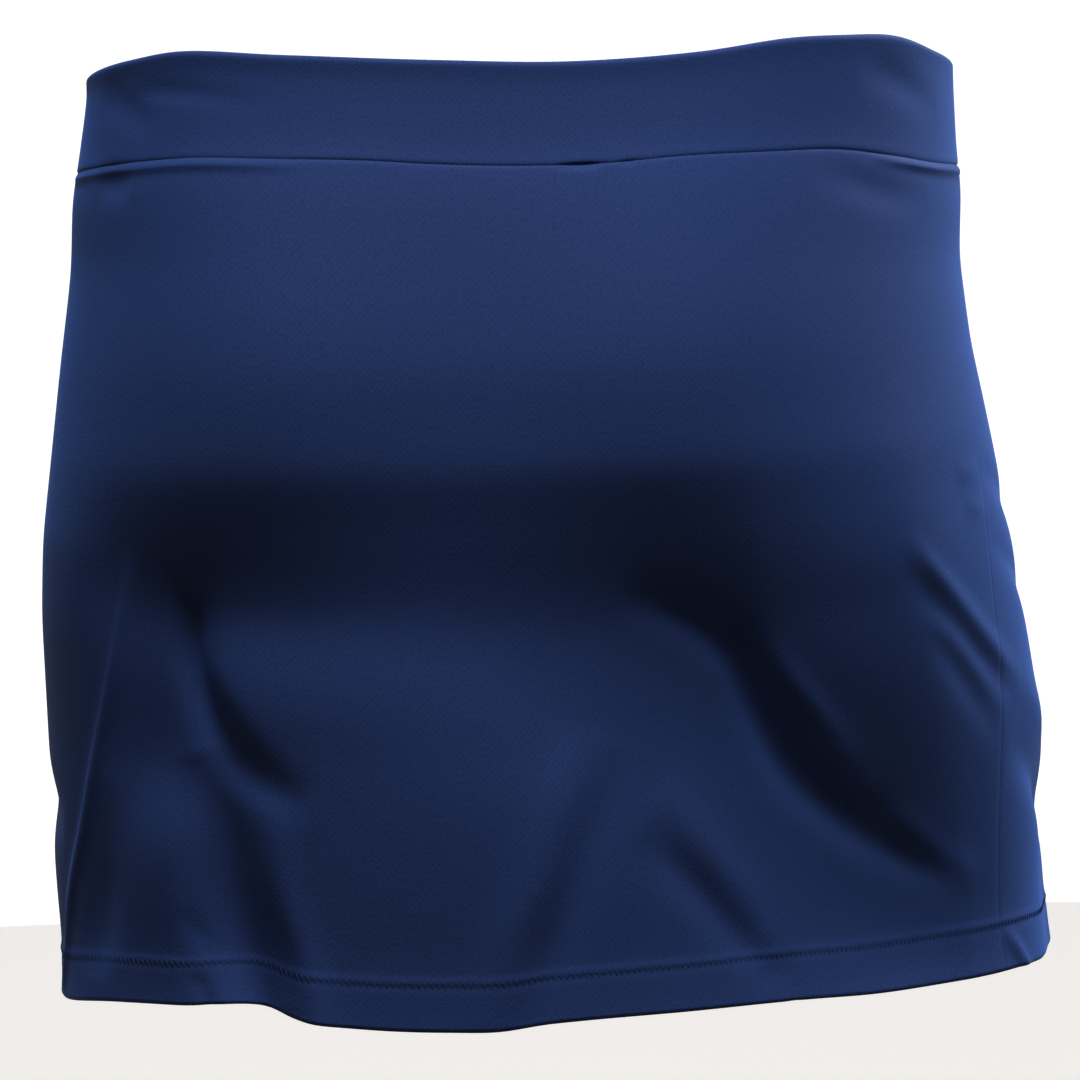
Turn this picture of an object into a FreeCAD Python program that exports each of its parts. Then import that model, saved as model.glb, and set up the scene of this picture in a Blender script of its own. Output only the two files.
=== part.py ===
"""Pull-on knit cheer skirt with a wide elastic waistband, as a parametric assembly.

Millimetres, +Z up. The origin is the centre of the waist opening. The wearer faces +Y, so the back
of the skirt is on the -Y side and +X is the wearer's right.

Every layer of cloth, elastic and thread follows one form: a stack of ellipses from the waist down to
the hem. A layer is the form drawn in by its inset, minus the form drawn in by its inset plus its
thickness. Boxes then trim the layer to its own stretch, front or back.
"""
import FreeCAD, Part
import os

import Sketcher

# The form's sections: drop below the origin, half width, half depth, shift of the centre towards the
# back and towards the left, and tilt in degrees. A tilt lifts the back, because the waist sits lower
# in front. The form leans left at the hips, as the wearer stands on the left leg.
SECTIONS = {
    "waist": (0.0, 160.0, 105.0, 0.0, 1.0, 3.0),
    "seam": (38.0, 163.2, 108.5, 1.0, 3.6, 2.0),
    "ease": (45.0, 164.6, 110.5, 1.6, 4.2, 2.0),
    "yoke": (72.0, 164.0, 114.5, 4.6, 6.6, 1.0),
    "hip": (105.0, 167.9, 119.0, 9.2, 8.9, 0.5),
    "seat": (138.0, 173.5, 121.5, 12.0, 8.6, 0.0),
    "fold": (165.0, 178.4, 120.8, 10.2, 7.0, 0.0),
    "tuck": (192.0, 182.0, 119.3, 7.6, 4.1, 0.0),
    "thigh": (235.0, 185.2, 119.0, 5.4, -0.7, 0.0),
    "hem": (328.0, 184.6, 121.0, 4.0, -2.4, 0.0),
}
SKIRT = ("seam", "ease", "yoke", "hip", "seat", "fold", "tuck", "thigh", "hem")
SEAM_EDGE = ("seam", "ease")

# The other driving dimensions, with what each one is.
SIZES = {
    "cloth": (0.8, "thickness of the knit, one ply"),
    "allowance": (0.6, "thickness of a seam allowance pressed open inside the band"),
    "elastic": (1.2, "thickness of the waist elastic"),
    "thread": (0.4, "thickness of a line of stitches"),
    "overlock": (1.0, "thickness of an overlocked seam allowance"),
    "side_seam_back": (47.0, "distance of the side seams behind the middle of the waist"),
    "worn_turn": (5.5, "degrees that the skirt is turned on the body, its back towards the left"),
    "hem_depth": (15.5, "height of the cloth turned up inside the hem"),
    "needle_gap": (5.0, "distance between the two rows of the coverstitch"),
    "stitch_height": (0.8, "height of one row of stitches"),
    "band_seam_width": (12.0, "width of the allowances pressed open inside the band"),
    "band_fold": (1.2, "height of the turned-over top of the band"),
    "elastic_clearance": (0.8, "space under and over the elastic inside the band"),
    "elastic_overlap": (12.0, "overlap of the two ends of the elastic"),
    "overlock_width": (6.0, "width of an overlocked side seam allowance"),
    "label_width": (32.0, "width of the folded care label"),
    "label_length": (42.0, "length of the folded care label"),
    "label_ply": (0.3, "thickness of one ply of the label"),
    "label_gap": (0.2, "space between the two plies of the label"),
    "label_drop": (34.7, "drop of the label's top edge below the origin"),
    "label_back": (107.0, "distance of the label's outer ply behind the origin"),
    "label_turn": (3.0, "degrees that the label lies to the left of the centre back"),
    "beyond": (400.0, "reach of the trimming boxes, past every face of the skirt"),
}

doc = FreeCAD.newDocument("cheer_skirt")
sheet = doc.addObject("Spreadsheet::Sheet", "Sizes")
made = []


# ---------------------------------------------------------------- the sheet of driving dimensions
def fill_sheet():
    """Write every driving dimension in the sheet, one to a row, with its alias."""
    rows = [(name, value, note) for name, (value, note) in SIZES.items()]
    columns = ("drop", "half_width", "half_depth", "shift_back", "shift_left", "tilt")
    for section, values in SECTIONS.items():
        for column, value in zip(columns, values):
            rows.append((f"{section}_{column}", value, f"{column} of the section {section}"))
    for row, (name, value, note) in enumerate(rows, start=1):
        sheet.set(f"A{row}", name)
        sheet.set(f"B{row}", str(value))
        sheet.set(f"C{row}", note)
        sheet.setAlias(f"B{row}", name)
    doc.recompute()


def size(name):
    """The expression that reads one dimension from the sheet."""
    return f"Sizes.{name}"


# ---------------------------------------------------------------- the building blocks
def named_section(section):
    """A reader of one section's dimensions, as expressions."""
    return lambda column: size(f"{section}_{column}")


def band_section(drop):
    """A reader of the dimensions of a section of the band, at a drop between its top and its seam."""
    def measure(column):
        top, seam = size(f"waist_{column}"), size(f"seam_{column}")
        return f"({top} + ({seam} - {top}) * ({drop}) / {size('seam_drop')})"
    return measure


def ellipse(name, measure, inset):
    """One section of the form, drawn in by an inset."""
    curve = doc.addObject("Part::Ellipse", name)
    curve.Placement.Rotation = FreeCAD.Rotation(FreeCAD.Vector(-1, 0, 0), 1)
    curve.setExpression("MajorRadius", f"{measure('half_width')} - ({inset})")
    curve.setExpression("MinorRadius", f"{measure('half_depth')} - ({inset})")
    curve.setExpression("Placement.Base.x", f"-{measure('shift_left')}")
    curve.setExpression("Placement.Base.y", f"-{measure('shift_back')}")
    curve.setExpression("Placement.Base.z", f"-{measure('drop')}")
    curve.setExpression("Placement.Rotation.Angle", measure("tilt"))
    return curve


def loft(name, measures, inset):
    """A solid through a row of sections, all drawn in by one inset."""
    solid = doc.addObject("Part::Loft", name)
    solid.Sections = [ellipse(f"{name}_{row}", measure, inset) for row, measure in enumerate(measures)]
    solid.Solid = True
    solid.Ruled = True
    return solid


def form(name, sections, inset):
    """The form between the named sections, drawn in by one inset."""
    return loft(name, [named_section(section) for section in sections], inset)


def band_form(name, inset, top="0", bottom=None):
    """The form of the band between two drops, drawn in by one inset."""
    return loft(name, [band_section(top), band_section(bottom or size("seam_drop"))], inset)


def layer(name, outer, inner):
    """What is left of the outer solid once the inner one is cut out of it."""
    cut = doc.addObject("Part::Cut", name)
    cut.Base = outer
    cut.Tool = inner
    return cut


def trimmed(name, solid, box):
    """The part of a solid inside a box."""
    common = doc.addObject("Part::Common", name)
    common.Base = solid
    common.Tool = box
    return common


def box(name, x_span, y_span, z_span):
    """A box between limits, which are pairs of expressions, turned about Z as the skirt is worn."""
    block = doc.addObject("Part::Box", name)
    for side, (low, high) in (("Length", x_span), ("Width", y_span), ("Height", z_span)):
        block.setExpression(side, f"({high}) - ({low})")
    x_low, y_low, z_low = x_span[0], y_span[0], z_span[0]
    turn = f"({size('worn_turn')} * 1 deg)"
    block.Placement.Rotation = FreeCAD.Rotation(FreeCAD.Vector(0, 0, -1), 1)
    block.setExpression("Placement.Rotation.Angle", size("worn_turn"))
    block.setExpression("Placement.Base.x", f"({x_low}) * cos{turn} + ({y_low}) * sin{turn}")
    block.setExpression("Placement.Base.y", f"({y_low}) * cos{turn} - ({x_low}) * sin{turn}")
    block.setExpression("Placement.Base.z", z_low)
    return block


def sub_part(thing, label):
    """Name a finished piece and put it on the list of pieces to write."""
    thing.Label = label
    made.append(thing)


def beside_seam(width):
    """The span, front to back, of a strip of the given width centred on the side seams."""
    middle, half = f"-{size('side_seam_back')}", f"{size(width)} / 2"
    return (f"{middle} - {half}", f"{middle} + {half}")


# Spans shared by the trimming boxes.
FAR = (f"-{size('beyond')}", size("beyond"))
LEFT = (f"-{size('beyond')}", "0")
RIGHT = ("0", size("beyond"))
BEHIND = (f"-{size('beyond')}", f"-{size('side_seam_back')}")
AHEAD = (f"-{size('side_seam_back')}", size("beyond"))
HALVES = {"back": BEHIND, "front": AHEAD}
SIDES = {"left": LEFT, "right": RIGHT}
HEM_LINE = f"{size('hem_depth')} - {size('hem_drop')}"

# How far each layer lies inside the form.
ONE_PLY = size("cloth")
TWO_PLIES = f"2 * {size('cloth')}"
ELASTIC_FACE = f"{size('cloth')} + {size('allowance')}"
ELASTIC_BACK = f"{ELASTIC_FACE} + {size('elastic')}"
FACING_FACE = f"{ELASTIC_BACK} + {size('thread')}"
FACING_BACK = f"{FACING_FACE} + {size('cloth')}"


# ---------------------------------------------------------------- the skirt's two panels
def make_panels(face, one_ply, two_plies):
    """The back and front panels: one ply of knit, and two where the hem is turned up."""
    doubled = layer("panel_doubled", face, two_plies)
    above_hem = box("above_hem", FAR, FAR, (HEM_LINE, size("beyond")))
    single_space = trimmed("single_ply_space", one_ply, above_hem)
    tube = layer("panel_tube", doubled, single_space)
    for half, span in HALVES.items():
        block = box(f"{half}_half", FAR, span, FAR)
        sub_part(trimmed(f"panel_{half}", tube, block), f"skirt_{half}_panel")


# ---------------------------------------------------------------- the waistband
def make_waistband():
    """The band's outer cloth, which turns over the top of the elastic, and its inner facing."""
    outside = band_form("band_face", "0")
    facing_space = band_form("band_facing_space", FACING_FACE)
    pocket = band_form("band_pocket", ONE_PLY, top=size("band_fold"))
    outer = layer("band_outer_tube", layer("band_doubled", outside, facing_space), pocket)
    waist_hole = band_form("band_waist_hole", FACING_BACK)
    facing = layer("band_facing_tube", facing_space, waist_hole)
    for half, span in HALVES.items():
        block = box(f"band_{half}_half", FAR, span, FAR)
        sub_part(trimmed(f"outer_{half}", outer, block), f"waistband_outer_{half}")
        sub_part(trimmed(f"facing_{half}", facing, block), f"waistband_facing_{half}")


def pocket_layer(name, outer_inset, inner_inset):
    """A loop inside the band's pocket, clear of the band's top fold and of its seam."""
    span = {
        "top": f"{size('band_fold')} + {size('elastic_clearance')}",
        "bottom": f"{size('seam_drop')} - {size('elastic_clearance')}",
    }
    outer = band_form(f"{name}_face", outer_inset, **span)
    inner = band_form(f"{name}_back", inner_inset, **span)
    return layer(name, outer, inner)


def make_elastic():
    """The loop of elastic inside the band."""
    sub_part(pocket_layer("elastic_loop", ELASTIC_FACE, ELASTIC_BACK), "waist_elastic")


def make_elastic_join():
    """Two upright rows of stitches that hold the overlapped ends of the elastic together."""
    gap = pocket_layer("elastic_join_gap", ELASTIC_BACK, FACING_FACE)
    rows = []
    for side, sign in (("left", "-"), ("right", "")):
        middle = f"{sign}{size('elastic_overlap')} / 2"
        across = (f"{middle} - {size('stitch_height')} / 2", f"{middle} + {size('stitch_height')} / 2")
        rows.append(box(f"join_row_{side}", across, BEHIND, FAR))
    both = doc.addObject("Part::MultiFuse", "join_rows")
    both.Shapes = rows
    sub_part(trimmed("join_stitches", gap, both), "elastic_join_stitching")


def make_band_seams():
    """The allowances of the band's own side seams, pressed open against the elastic."""
    strip = pocket_layer("band_seam_gap", ONE_PLY, ELASTIC_FACE)
    for side, span in SIDES.items():
        block = box(f"band_seam_{side}_box", span, beside_seam("band_seam_width"), FAR)
        sub_part(trimmed(f"band_seam_{side}", strip, block), f"waistband_side_seam_{side}")


# ---------------------------------------------------------------- seams and stitches
def make_waist_overlock():
    """The overlocked allowance of the seam between the band and the panels, all round inside."""
    outer = form("waist_overlock_face", SEAM_EDGE, ONE_PLY)
    inner = form("waist_overlock_back", SEAM_EDGE, f"{ONE_PLY} + {size('overlock')}")
    sub_part(layer("waist_overlock", outer, inner), "waist_seam_overlock")


def make_side_overlocks(face):
    """The overlocked allowances inside the side seams, from under the waist seam to the turn-up."""
    back = form("side_overlock_back", SKIRT, f"{ONE_PLY} + {size('overlock')}")
    strip = layer("side_overlock_layer", face, back)
    below_waist_seam = f"-{size('ease_drop')} - {size('overlock_width')}"
    for side, span in SIDES.items():
        across = beside_seam("overlock_width")
        block = box(f"side_overlock_{side}_box", span, across, (HEM_LINE, below_waist_seam))
        sub_part(trimmed(f"side_overlock_{side}", strip, block), f"side_seam_overlock_{side}")


def make_hem_stitches(face, two_plies):
    """The coverstitch: two rows of needle thread outside and one looper thread inside."""
    proud = form("needle_face", SKIRT, f"-{size('thread')}")
    outside = layer("needle_layer", proud, face)
    rows = {"upper": "0", "lower": size("needle_gap")}
    for row, below in rows.items():
        top = f"{HEM_LINE} - ({below}) - {size('stitch_height')}"
        block = box(f"needle_{row}_box", FAR, FAR, (f"{top} - {size('stitch_height')}", top))
        sub_part(trimmed(f"needle_{row}", outside, block), f"hem_needle_thread_{row}")
    looper_back = form("looper_back", SKIRT, f"{TWO_PLIES} + {size('thread')}")
    inside = layer("looper_layer", two_plies, looper_back)
    bottom = f"{HEM_LINE} - {size('needle_gap')} - 2 * {size('stitch_height')}"
    block = box("looper_box", FAR, FAR, (bottom, HEM_LINE))
    sub_part(trimmed("looper", inside, block), "hem_looper_thread")


# ---------------------------------------------------------------- the care label
def origin_plane(body, role):
    """One of a body's own origin planes."""
    return next(plane for plane in body.Origin.OriginFeatures if plane.Role == role)


def rectangle(body, name, width, height, left, top):
    """A sketched rectangle on the body's YZ plane, with its limits bound to expressions."""
    sketch = body.newObject("Sketcher::SketchObject", name)
    sketch.AttachmentSupport = (origin_plane(body, "YZ_Plane"), [""])
    sketch.MapMode = "FlatFace"
    corners = [FreeCAD.Vector(y, z, 0) for y, z in ((-2, -2), (-1, -2), (-1, -1), (-2, -1))]
    for start, end in zip(corners, corners[1:] + corners[:1]):
        sketch.addGeometry(Part.LineSegment(start, end))
    start_point, end_point = 1, 2
    bottom_side, right_side, top_side, left_side = range(4)
    for side in range(4):
        sketch.addConstraint(Sketcher.Constraint("Coincident", side, end_point, (side + 1) % 4, start_point))
    for side in (bottom_side, top_side):
        sketch.addConstraint(Sketcher.Constraint("Horizontal", side))
    for side in (right_side, left_side):
        sketch.addConstraint(Sketcher.Constraint("Vertical", side))
    root = -1
    driven = (
        ("width", "DistanceX", bottom_side, start_point, bottom_side, end_point, 1.0, width),
        ("height", "DistanceY", right_side, start_point, right_side, end_point, 1.0, height),
        ("back", "DistanceX", top_side, end_point, root, start_point, 2.0, left),
        ("down", "DistanceY", top_side, end_point, root, start_point, 1.0, top),
    )
    for name_of_size, kind, *points, first_value, expression in driven:
        index = sketch.addConstraint(Sketcher.Constraint(kind, *points, first_value))
        sketch.renameConstraint(index, name_of_size)
        sketch.setExpression(f"Constraints.{name_of_size}", expression)
    return sketch


def make_care_label():
    """A blank label, folded double at its lower end, hanging inside the centre back."""
    body = doc.addObject("PartDesign::Body", "label")
    body.Placement.Rotation = FreeCAD.Rotation(FreeCAD.Vector(0, 0, -1), 1)
    body.setExpression("Placement.Rotation.Angle", size("label_turn"))
    folded = f"2 * {size('label_ply')} + {size('label_gap')}"
    length, back, drop = size("label_length"), size("label_back"), size("label_drop")
    outline = rectangle(body, "label_outline", folded, length, back, drop)
    block = body.newObject("PartDesign::Pad", "label_block")
    block.Profile = outline
    block.SideType = "Symmetric"
    block.setExpression("Length", size("label_width"))
    gap_back, gap_length = f"{back} - {size('label_ply')}", f"{length} - 2 * {size('label_ply')}"
    opening = rectangle(body, "label_opening", size("label_gap"), gap_length, gap_back, drop)
    gap = body.newObject("PartDesign::Pocket", "label_gap")
    gap.Profile = opening
    gap.SideType = "Symmetric"
    gap.setExpression("Length", f"2 * {size('label_width')}")
    doc.recompute()
    fold_edges = []
    lowest = gap.Shape.BoundBox.ZMin
    for index, edge in enumerate(gap.Shape.Edges, start=1):
        lies_low = edge.BoundBox.ZMax < lowest + 0.01
        if lies_low and edge.BoundBox.XLength > 1:
            fold_edges.append(f"Edge{index}")
    fold = body.newObject("PartDesign::Fillet", "label_fold")
    fold.Base = (gap, fold_edges)
    fold.setExpression("Radius", size("label_ply"))
    body.Tip = fold
    sub_part(body, "care_label")


# ---------------------------------------------------------------- assembly, checks and files
def build():
    """Make every piece."""
    fill_sheet()
    face = form("skirt_face", SKIRT, "0")
    one_ply = form("skirt_one_ply", SKIRT, ONE_PLY)
    two_plies = form("skirt_two_plies", SKIRT, TWO_PLIES)
    make_panels(face, one_ply, two_plies)
    make_waistband()
    make_elastic()
    make_elastic_join()
    make_band_seams()
    make_waist_overlock()
    make_side_overlocks(one_ply)
    make_hem_stitches(face, two_plies)
    make_care_label()
    doc.recompute()


def check():
    """Stop if any object failed or any piece is empty or not valid."""
    for thing in doc.Objects:
        if "Invalid" in thing.State or "Error" in thing.State:
            raise RuntimeError(f"{thing.Name} failed: {thing.State}")
    for piece in made:
        if piece.Shape.isNull() or not piece.Shape.isValid() or not piece.Shape.Solids:
            raise RuntimeError(f"{piece.Label} has no valid solid")


def write():
    """Write one STEP file for each piece."""
    os.makedirs("parts", exist_ok=True)
    for piece in made:
        piece.Shape.exportStep(f"parts/{piece.Label}.step")
        box_size = piece.Shape.BoundBox
        print(f"{piece.Label}: {piece.Shape.Volume:.0f} mm3, {len(piece.Shape.Solids)} solid(s), "
              f"{box_size.XLength:.1f} x {box_size.YLength:.1f} x {box_size.ZLength:.1f} mm")


build()
check()
write()
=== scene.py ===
"""Looks of the pull-on cheer skirt, built round its CAD frame.

Lengths are in millimetres until a mesh is made, which is in metres. +Z is up and the back of the
skirt is on the -Y side. A place on the cloth is given by garment coordinates: across, the distance
round the body from the centre back towards the wearer's right; drop, the distance below the waist
opening; and inset, the depth of a layer inside the outer face.
"""

import math

import bpy
import numpy as np
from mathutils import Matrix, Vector
from mathutils.bvhtree import BVHTree


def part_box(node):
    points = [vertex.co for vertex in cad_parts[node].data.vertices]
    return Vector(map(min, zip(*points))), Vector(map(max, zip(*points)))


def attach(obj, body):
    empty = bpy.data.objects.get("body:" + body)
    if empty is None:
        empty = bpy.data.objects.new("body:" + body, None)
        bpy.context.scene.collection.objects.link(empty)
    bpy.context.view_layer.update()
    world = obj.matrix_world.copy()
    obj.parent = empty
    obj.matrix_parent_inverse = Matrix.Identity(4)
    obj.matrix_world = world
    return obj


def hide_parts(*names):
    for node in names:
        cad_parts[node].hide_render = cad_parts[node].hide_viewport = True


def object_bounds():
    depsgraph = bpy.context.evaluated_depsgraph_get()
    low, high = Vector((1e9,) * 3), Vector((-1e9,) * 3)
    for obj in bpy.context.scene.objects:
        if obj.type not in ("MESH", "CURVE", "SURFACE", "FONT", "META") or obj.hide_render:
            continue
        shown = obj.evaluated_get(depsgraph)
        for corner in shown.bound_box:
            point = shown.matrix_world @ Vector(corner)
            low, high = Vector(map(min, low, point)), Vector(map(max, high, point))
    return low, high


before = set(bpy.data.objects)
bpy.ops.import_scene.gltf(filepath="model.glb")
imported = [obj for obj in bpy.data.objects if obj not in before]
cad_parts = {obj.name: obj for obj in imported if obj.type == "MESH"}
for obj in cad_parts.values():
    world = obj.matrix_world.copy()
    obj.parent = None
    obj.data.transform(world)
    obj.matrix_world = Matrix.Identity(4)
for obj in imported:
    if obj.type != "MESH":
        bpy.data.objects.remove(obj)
cad_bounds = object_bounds()

# ---------------------------------------------------------------- sizes
MM = 0.001                          # one millimetre, in metres
HEM_DROP = -cad_bounds[0].z / MM    # from the waist opening down to the hem,
SEAM_DROP = 38.0                    # and to the waist seam
HEM_DEPTH = 15.5                    # height of the hem's turn-up
HEM_LINE = HEM_DROP - HEM_DEPTH     # where the turn-up ends and its upper stitching runs
CLOTH = 0.8                         # thickness of one ply of knit
ELASTIC_INSET = 1.4                 # depth of the elastic inside the band's outer face
ELASTIC_THICK = 1.2
FACING_INSET = 3.0                  # depth of the band's inner cloth
ALLOWANCE = 6.0                     # width of a seam allowance,
STRIP = 0.7                         # and its thickness once overlocked and pressed
NEEDLE_GAP = 5.0                    # between the hem's two rows of stitches
STITCH_PITCH = 2.1                  # length of one stitch
FINE = 2.0                          # usual spacing of a mesh's rows and columns


# ---------------------------------------------------------------- curves and spacings
def through(points, x, period=None):
    """A smooth curve through (x, value) points, read at x. It is level past its ends, or periodic."""
    knots = np.array([point[0] for point in points], float)
    values = np.array([point[1] for point in points], float)
    if period:
        knots = np.concatenate([knots[-2:] - period, knots, knots[:2] + period])
        values = np.concatenate([values[-2:], values, values[:2]])
        x = (x - knots[2]) % period + knots[2]
    slopes = np.gradient(values, knots)
    if not period:
        slopes[0] = slopes[-1] = 0.0
    x = np.clip(x, knots[0], knots[-1])
    left = np.clip(np.searchsorted(knots, x, side="right") - 1, 0, len(knots) - 2)
    step = knots[left + 1] - knots[left]
    t = (x - knots[left]) / step
    start = (1 + 2 * t) * (1 - t) ** 2 * values[left] + t * (1 - t) ** 2 * step * slopes[left]
    end = t * t * (3 - 2 * t) * values[left + 1] + t * t * (t - 1) * step * slopes[left + 1]
    return start + end


def bell(x, middle, width):
    """A bell curve of height 1."""
    return np.exp(-((x - middle) / width) ** 2)


def spaced(*stops):
    """Values from the first stop to the last. A stop is (value, spacing up to the next stop)."""
    pieces = []
    for (start, spacing), (end, _) in zip(stops, stops[1:]):
        count = max(1, round(abs(end - start) / spacing))
        pieces.append(np.linspace(start, end, count, endpoint=False))
    return np.concatenate(pieces + [[stops[-1][0]]])


# ---------------------------------------------------------------- the body form, read from the CAD
BESIDE = 0.0037     # in metres, so that no ray runs along an edge of the mesh
FORM_TOP = 7.0      # the first level at which the form is read, below the band's rounded top,
FORM_SPACING = 3.0  # and the spacing of the levels
SMOOTH_REACH = 5    # the levels that the smoothing takes in on each side,
SMOOTH_WIDTH = 2.6  # and the width of its bell curve, in levels


def read_form():
    """The CAD form's half width, half depth, shift back and shift aside at a row of drops, smoothed."""
    points, faces = [], []
    for node in ("skirt_back_panel", "skirt_front_panel", "waistband_outer_back", "waistband_outer_front"):
        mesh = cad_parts[node].data
        first = len(points)
        points += [vertex.co.copy() for vertex in mesh.vertices]
        faces += [[first + index for index in face.vertices] for face in mesh.polygons]
    tree = BVHTree.FromPolygons(points, faces)
    drops = np.arange(FORM_TOP, HEM_DROP - 0.5, FORM_SPACING)
    rows = []
    for drop in drops:
        z = -drop * MM
        back = tree.ray_cast(Vector((BESIDE, -1, z)), Vector((0, 1, 0)))[0].y / MM
        front = tree.ray_cast(Vector((BESIDE, 1, z)), Vector((0, -1, 0)))[0].y / MM
        level = (back + front) / 2 * MM + BESIDE
        right = tree.ray_cast(Vector((1, level, z)), Vector((-1, 0, 0)))[0].x / MM
        left = tree.ray_cast(Vector((-1, level, z)), Vector((1, 0, 0)))[0].x / MM
        rows.append(((right - left) / 2, (front - back) / 2, -(front + back) / 2, (right + left) / 2))
    rows = np.array(rows)
    starts = np.arange(2 * SMOOTH_REACH + 1)
    weights = bell(starts, SMOOTH_REACH, SMOOTH_WIDTH)
    padded = np.pad(rows, ((SMOOTH_REACH, SMOOTH_REACH), (0, 0)), mode="edge")
    smooth = sum(weight * padded[start:start + len(rows)] for start, weight in zip(starts, weights))
    return drops, smooth / weights.sum()


FORM_DROPS, FORM = read_form()

# Distances round the body against the angle round it, on an ellipse of the form's mean size.
ARC_TURNS = np.linspace(-math.pi, math.pi, 1441)
ARC_STEPS = np.hypot(FORM[:, 0].mean() * np.cos(ARC_TURNS), FORM[:, 1].mean() * np.sin(ARC_TURNS))
ARC_LENGTHS = np.cumsum(ARC_STEPS) * (ARC_TURNS[1] - ARC_TURNS[0])
ARC_LENGTHS -= ARC_LENGTHS[len(ARC_TURNS) // 2]
GIRTH = ARC_LENGTHS[-1] - ARC_LENGTHS[0]


def wrapped(across):
    """A distance round the body, brought to within half the girth of the centre back."""
    return (across + GIRTH / 2) % GIRTH - GIRTH / 2


def turn_at(across):
    """The angle round the body of a distance round it."""
    return np.interp(wrapped(across), ARC_LENGTHS, ARC_TURNS)


# ---------------------------------------------------------------- how the skirt hangs
# Heights by which the cloth is lifted at its top edge, its waist seam and its hem: (degrees, lift).
TOP_LIFT = ((-180, -5.5), (-104, -4.4), (-76, 2.8), (-64, 5.6), (-46, 3.8), (-25, 1.0), (-9, -0.6),
            (9, 1.4), (24, 5.4), (33, 5.7), (43, 5.2), (59, -1.4), (80, -7), (110, -7))
SEAM_LIFT = ((-180, -3.8), (-120, -2), (-100, 0.8), (-87, 3), (-69, 6.2), (-59, 7.4), (-44, 6.6), (-34, 5.7),
             (-25, 3.9), (-17, 2.8), (-4, 2.6), (6, 4.2), (18, 4.5), (29, 4.3), (42, 0.7), (53, -2.5),
             (65, -4.3), (84, -6), (120, -5))
HEM_LIFT = ((-180, 0), (-120, 0), (-90, 1.1), (-73, 5.1), (-61, 6.4), (-48, 6.2), (-44.5, 3.4), (-40, 1.1),
            (-35, -0.3), (-26, -1.7), (-21, -2.0), (-14, -0.3), (2, -0.2), (15, -1.2), (29, -3.7), (49, -4.6),
            (60, -4.8), (68, -5.7), (90, -4.6), (115, -3.7), (130, -1.8), (160, 0.4))

# The side seams: (drop, distance across).
LEFT_SEAM = ((SEAM_DROP, -190), (166, -188), (199, -191), (233, -201), (259, -210), (298, -228),
             (HEM_DROP, -237))
RIGHT_SEAM = ((SEAM_DROP, 161), (150, 160), (184, 155), (HEM_DROP, 150))

# Broad bulges and hollows of the hanging cloth: (across, drop, height, width across, reach up, reach down).
# A negative height is a hollow.
BULGES = (
    (-138, 92, 7.0, 50, 46, 58),
    (20, 94, 7.0, 52, 48, 58),
    (-20, 62, 3.0, 130, 45, 50),
    (-62, 256, 3.5, 50, 54, 75),
    (-173, 236, -5.5, 21, 52, 26),
    (-166, 266, 3.5, 17, 34, 44),
    (98, 184, 6.0, 38, 42, 75),
    (112, 314, -9.5, 46, 80, 34),
    (34, 322, -5.0, 52, 84, 30),
    (-258, 334, -2.5, 26, 32, 30),
)

# The hollow under the seat, by distance across: (across, drop, height, reach up, reach down).
HOLLOW = (
    (-215, 172, 0, 24, 22), (-184, 178, -4.5, 27, 22), (-159, 182, -7, 31, 23), (-137, 182, -6.8, 37, 22),
    (-119, 182, -6.2, 44, 25), (-96, 180, -6.2, 52, 31), (-70, 181, -6.3, 56, 40), (-39, 190, -7, 58, 55),
    (-9, 199, -7.6, 52, 66), (10, 207, -8, 48, 70), (29, 222, -8.5, 48, 76), (42, 241, -8.5, 46, 72),
    (54, 257, -8.5, 50, 68), (67, 270, -7.5, 50, 62), (84, 281, -6, 46, 56), (102, 291, -4, 38, 48),
    (118, 300, -2, 26, 36), (134, 308, 0, 20, 24),
)

FLARE = 1.9             # how far the cloth flares out at the hem,
FLARE_REACH = 30.0      # and over what height
FOLD_REACH = 2.5        # how many widths away from its line a fold is still worked out

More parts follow.
